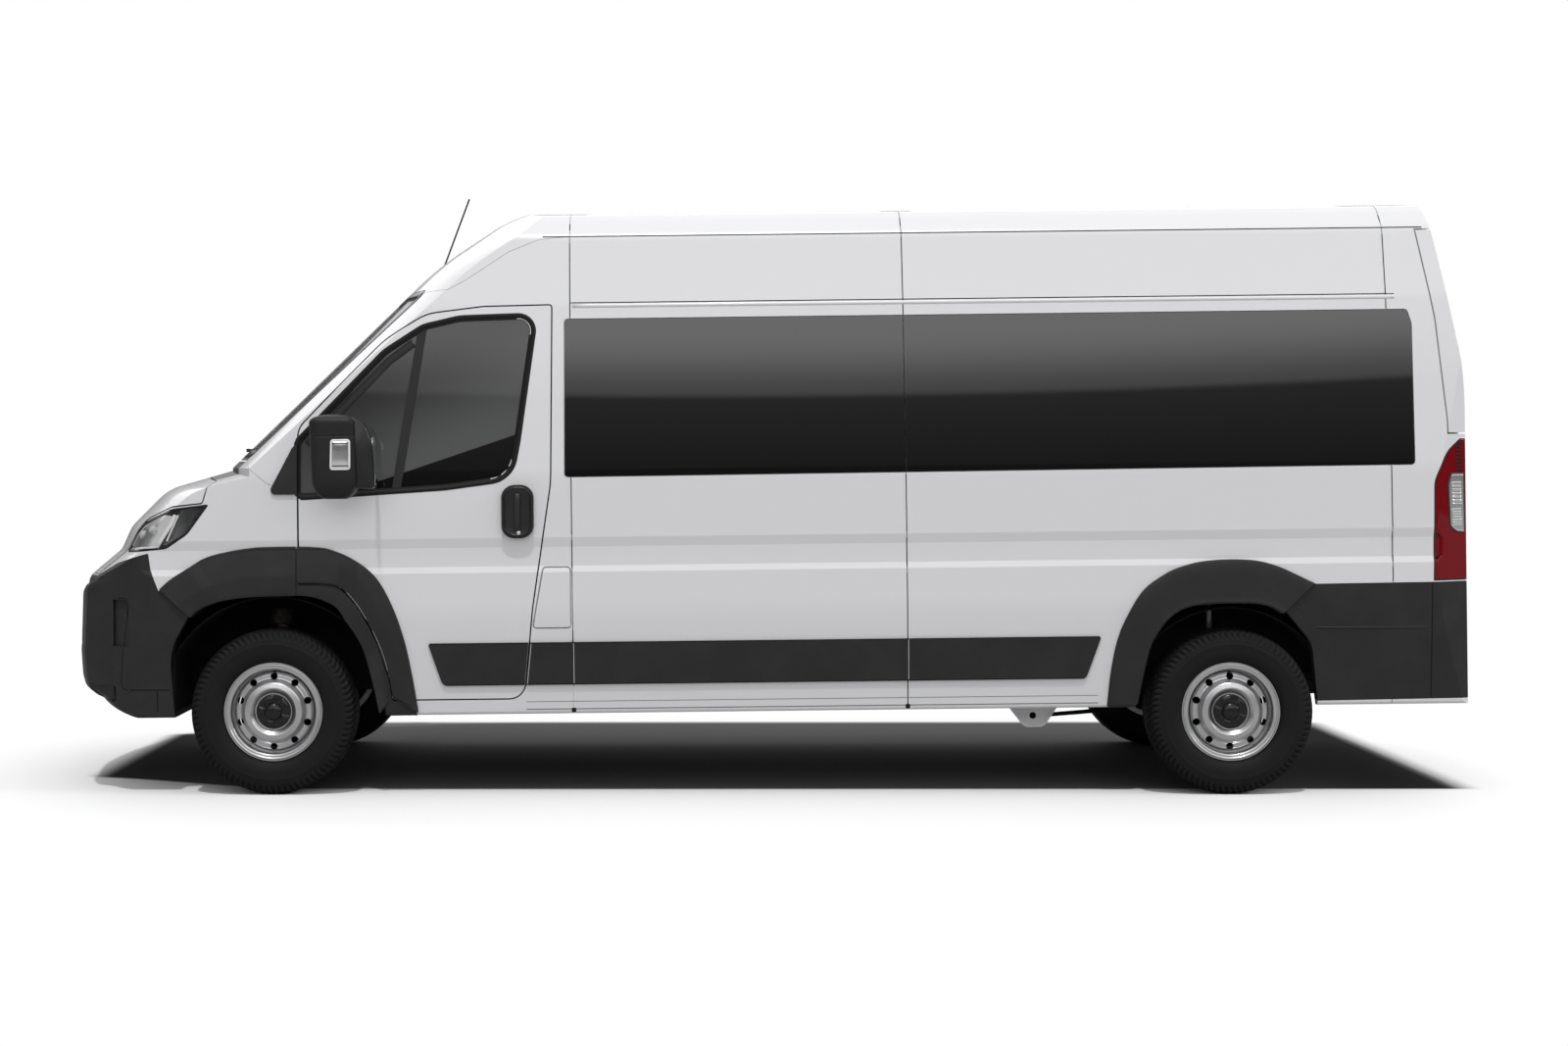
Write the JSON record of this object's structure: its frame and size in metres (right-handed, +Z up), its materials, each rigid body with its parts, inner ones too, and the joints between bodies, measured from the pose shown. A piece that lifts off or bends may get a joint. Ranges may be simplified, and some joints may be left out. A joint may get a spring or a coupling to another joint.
{
  "type": "minibus",
  "caption": "Long-wheelbase medium-roof passenger minibus with opening cab doors, rear doors, bonnet and fuel flap, steered front wheels and seats inside.",
  "frame": {"origin": "on the ground under the middle of the vehicle, mid-length and mid-width", "axes": "+X to the vehicle's left, +Y to its rear, +Z up"},
  "size_m": [2.5002, 5.9983, 2.6054],
  "materials": {
    "body_paint": "gloss",
    "glass": "tinted",
    "screen_glass": "clear",
    "dark_plastic": "grained",
    "black_plastic": "satin",
    "lamp_clear": "clear",
    "lamp_red": "clear",
    "tyre": "moulded",
    "wheel_silver": "satin",
    "chassis_black": "satin",
    "steel": "dull",
    "cast": "rough",
    "seat_fabric": "woven"
  },
  "bodies": {
    "body": {"antenna": "black_plastic", "body_trims": "dark_plastic", "cab_frame": "body_paint", "cab_roof": "body_paint", "cab_seats": "seat_fabric", "cabin_seats": "seat_fabric", "dashboard": "dark_plastic", "engine_block": "cast", "exhaust": "steel", "firewall": "chassis_black", "floor_pan": "chassis_black", "front_bumper": "dark_plastic", "front_subframe": "chassis_black", "front_wings": "body_paint", "fuel_tank": "black_plastic", "grille": "black_plastic", "headlamp_lenses": "lamp_clear", "headlamps": "black_plastic", "leaf_springs": "chassis_black", "left_side_panel": "body_paint", "rear_axle": "chassis_black", "rear_bumper": "dark_plastic", "rear_frame": "body_paint", "right_side_panel": "body_paint", "roof_panel": "body_paint", "scuttle_panel": "black_plastic", "side_windows": "glass", "sliding_door": "body_paint", "spare_wheel": "tyre", "tail_lamp_lenses": "lamp_red", "tail_lamps": "black_plastic", "wheel_liners": "black_plastic", "windscreen": "screen_glass", "wipers": "black_plastic"},
    "driver_door": {"driver_door": "body_paint", "driver_door_glass": "glass", "driver_door_trim": "dark_plastic", "left_mirror": "black_plastic"},
    "passenger_door": {"passenger_door": "body_paint", "passenger_door_glass": "glass", "passenger_door_trim": "dark_plastic", "right_mirror": "black_plastic"},
    "left_rear_door": {"left_rear_door": "body_paint", "left_rear_glass": "glass"},
    "right_rear_door": {"right_rear_door": "body_paint", "right_rear_glass": "glass"},
    "bonnet": {"bonnet": "body_paint"},
    "fuel_flap": {"fuel_flap": "body_paint"},
    "steering_wheel": {"steering_wheel": "black_plastic"},
    "left_knuckle": {"left_knuckle": "cast"},
    "right_knuckle": {"right_knuckle": "cast"},
    "front_left_wheel": {"front_left_wheel": "wheel_silver", "front_left_tyre": "tyre"},
    "front_right_wheel": {"front_right_wheel": "wheel_silver", "front_right_tyre": "tyre"},
    "rear_left_wheel": {"rear_left_wheel": "wheel_silver", "rear_left_tyre": "tyre"},
    "rear_right_wheel": {"rear_right_wheel": "wheel_silver", "rear_right_tyre": "tyre"}
  },
  "joints": [
    {"name": "driver_door_hinge", "type": "hinge", "parent": "body", "child": "driver_door", "pos_m": [1.04, -1.9444, 1.00125], "axis": [0, 0.0113, -0.9999], "range_deg": [0, 70]},
    {"name": "passenger_door_hinge", "type": "hinge", "parent": "body", "child": "passenger_door", "pos_m": [-1.04, -1.9444, 1.00125], "axis": [0, -0.0113, 0.9999], "range_deg": [0, 70]},
    {"name": "left_rear_door_hinge", "type": "hinge", "parent": "body", "child": "left_rear_door", "pos_m": [1, 2.98374, 1.45719], "axis": [0, 0.0113, -0.9999], "range_deg": [0, 180]},
    {"name": "right_rear_door_hinge", "type": "hinge", "parent": "body", "child": "right_rear_door", "pos_m": [-1, 2.98374, 1.45719], "axis": [0, -0.0113, 0.9999], "range_deg": [0, 180]},
    {"name": "bonnet_hinge", "type": "hinge", "parent": "body", "child": "bonnet", "pos_m": [0, -2.29694, 1.39928], "axis": [-1, 0, 0], "range_deg": [0, 55]},
    {"name": "fuel_flap_hinge", "type": "hinge", "parent": "body", "child": "fuel_flap", "pos_m": [1.017, -0.7954, 0.83127], "axis": [0, -0.0113, 0.9999], "range_deg": [0, 95]},
    {"name": "left_steering", "type": "hinge", "parent": "body", "child": "left_knuckle", "pos_m": [0.82, -2.051, 0.2], "axis": [-0.169, 0, 0.9856], "range_deg": [-33, 33]},
    {"name": "right_steering", "type": "hinge", "parent": "body", "child": "right_knuckle", "pos_m": [-0.82, -2.051, 0.2], "axis": [0.169, 0, 0.9856], "range_deg": [-33, 33]},
    {"name": "steering_wheel_turn", "type": "hinge", "parent": "body", "child": "steering_wheel", "pos_m": [0.5, -1.56947, 1.18552], "axis": [0, 0.5203, 0.854], "range_deg": [-500, 500]},
    {"name": "front_left_spin", "type": "hinge", "parent": "left_knuckle", "child": "front_left_wheel", "pos_m": [0.905, -2.051, 0.348], "axis": [1, 0, 0], "continuous": true},
    {"name": "front_right_spin", "type": "hinge", "parent": "right_knuckle", "child": "front_right_wheel", "pos_m": [-0.905, -2.051, 0.348], "axis": [1, 0, 0], "continuous": true},
    {"name": "rear_left_spin", "type": "hinge", "parent": "body", "child": "rear_left_wheel", "pos_m": [0.895, 1.984, 0.348], "axis": [1, 0, 0], "continuous": true},
    {"name": "rear_right_spin", "type": "hinge", "parent": "body", "child": "rear_right_wheel", "pos_m": [-0.895, 1.984, 0.348], "axis": [1, 0, 0], "continuous": true}
  ],
  "couplings": [
    {"joint": "right_steering", "follows": "left_steering", "ratio": 1},
    {"joint": "steering_wheel_turn", "follows": "left_steering", "ratio": 15}
  ]
}
